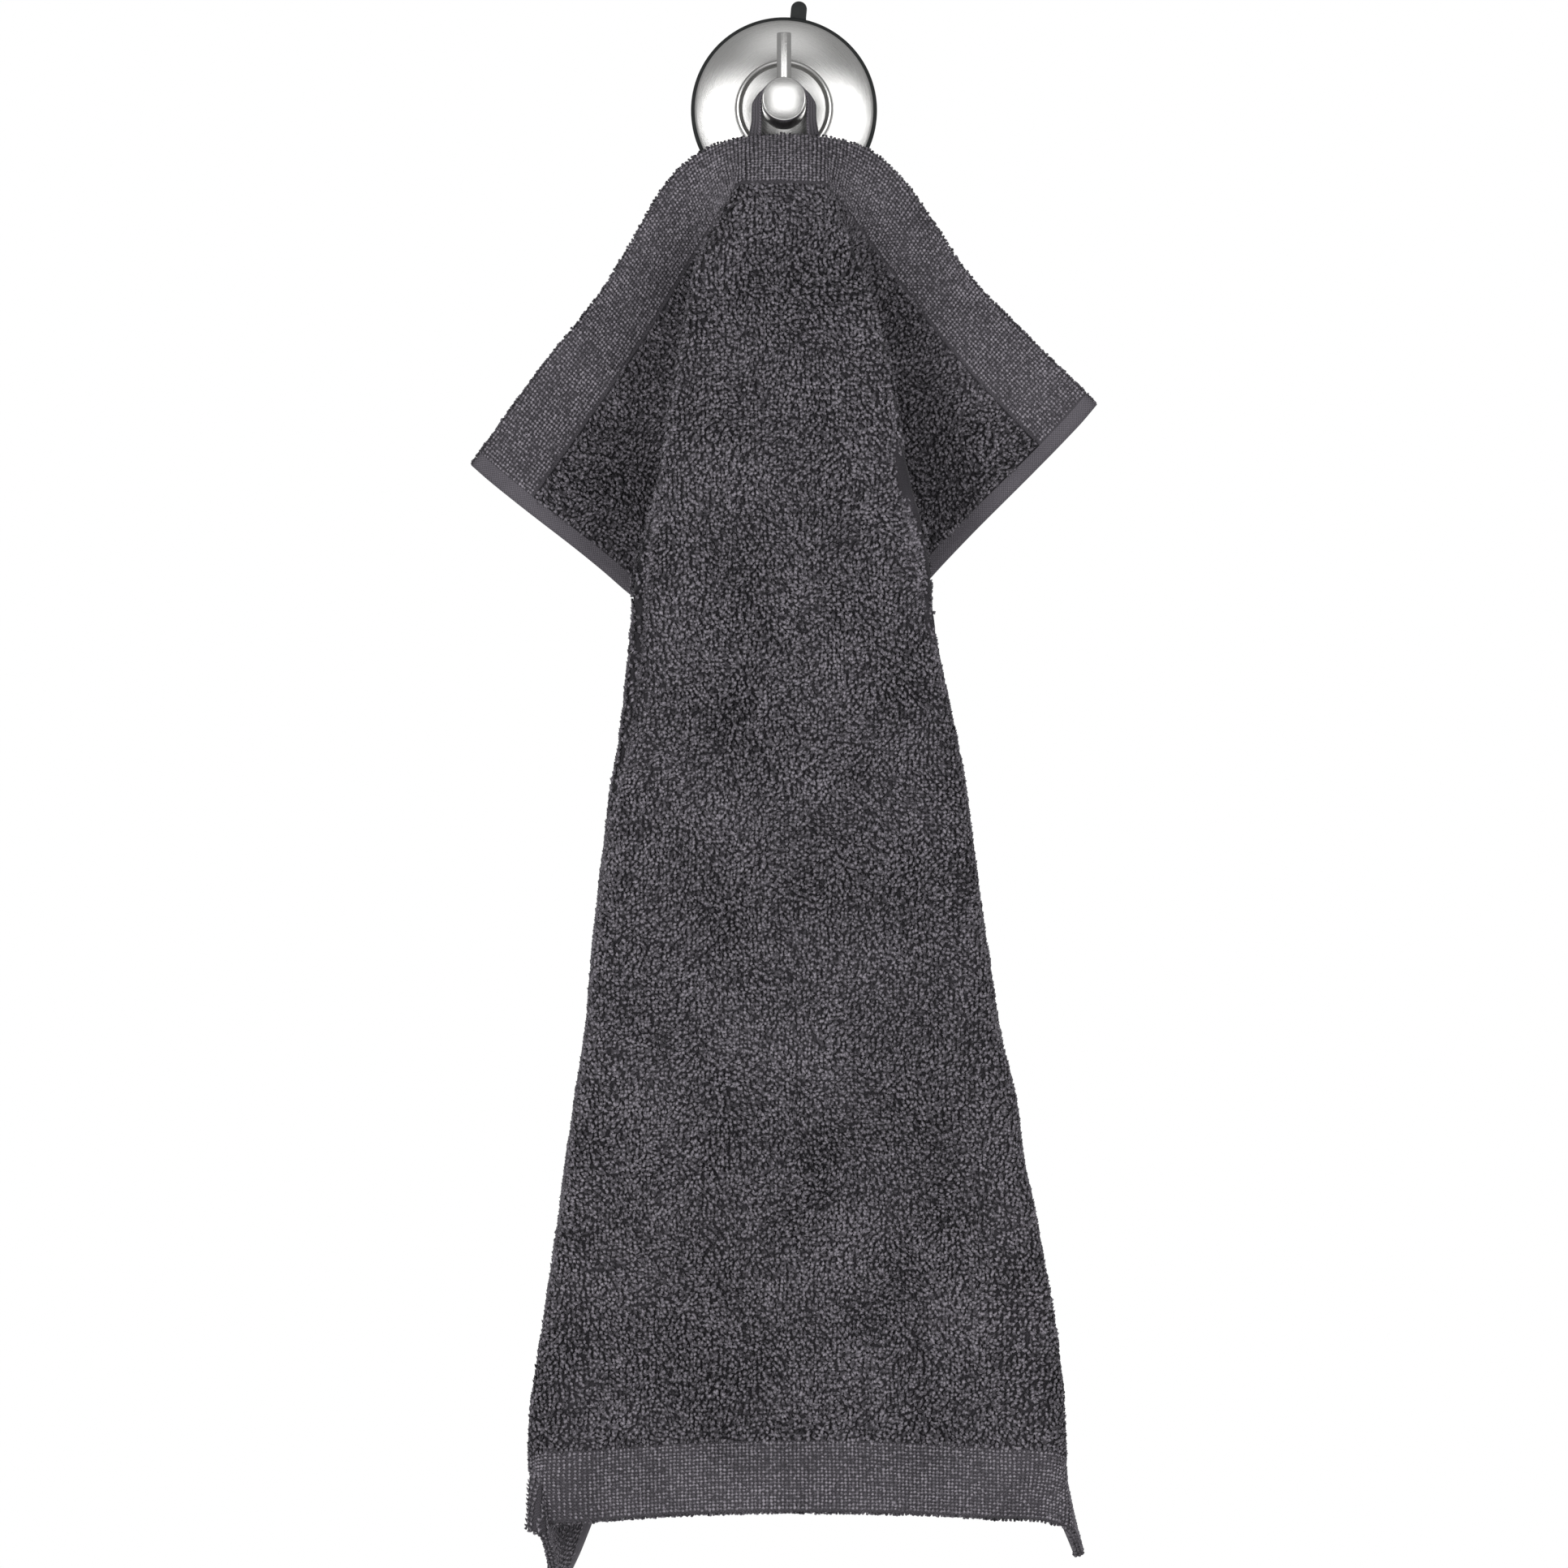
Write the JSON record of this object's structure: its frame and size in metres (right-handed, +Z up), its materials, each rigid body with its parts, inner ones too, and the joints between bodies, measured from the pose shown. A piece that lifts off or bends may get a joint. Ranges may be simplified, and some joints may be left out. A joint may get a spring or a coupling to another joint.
{
  "type": "guest towel on a suction hook",
  "caption": "Small terry guest towel hung by its sewn tape loop from a steel peg on a suction cup disc, its sides folded back behind a flaring front panel.",
  "frame": {"origin": "the middle of the suction cup's flat back, where it meets the wall", "axes": "+Y into the wall along the peg's axis, -Y towards the viewer, +X to the viewer's right, +Z up"},
  "size_m": [0.2747, 0.0859, 0.6914],
  "materials": {
    "terry": "dark grey terry, matt",
    "tape": "dark grey knitted tape",
    "steel": "brushed in circles, satin",
    "rubber": "satin"
  },
  "bodies": {
    "root": {"towel": "terry", "hanging_loop": "tape", "suction_cup": "rubber", "cover_disc": "steel", "peg": "steel", "peg_pin": "steel"}
  },
  "joints": []
}
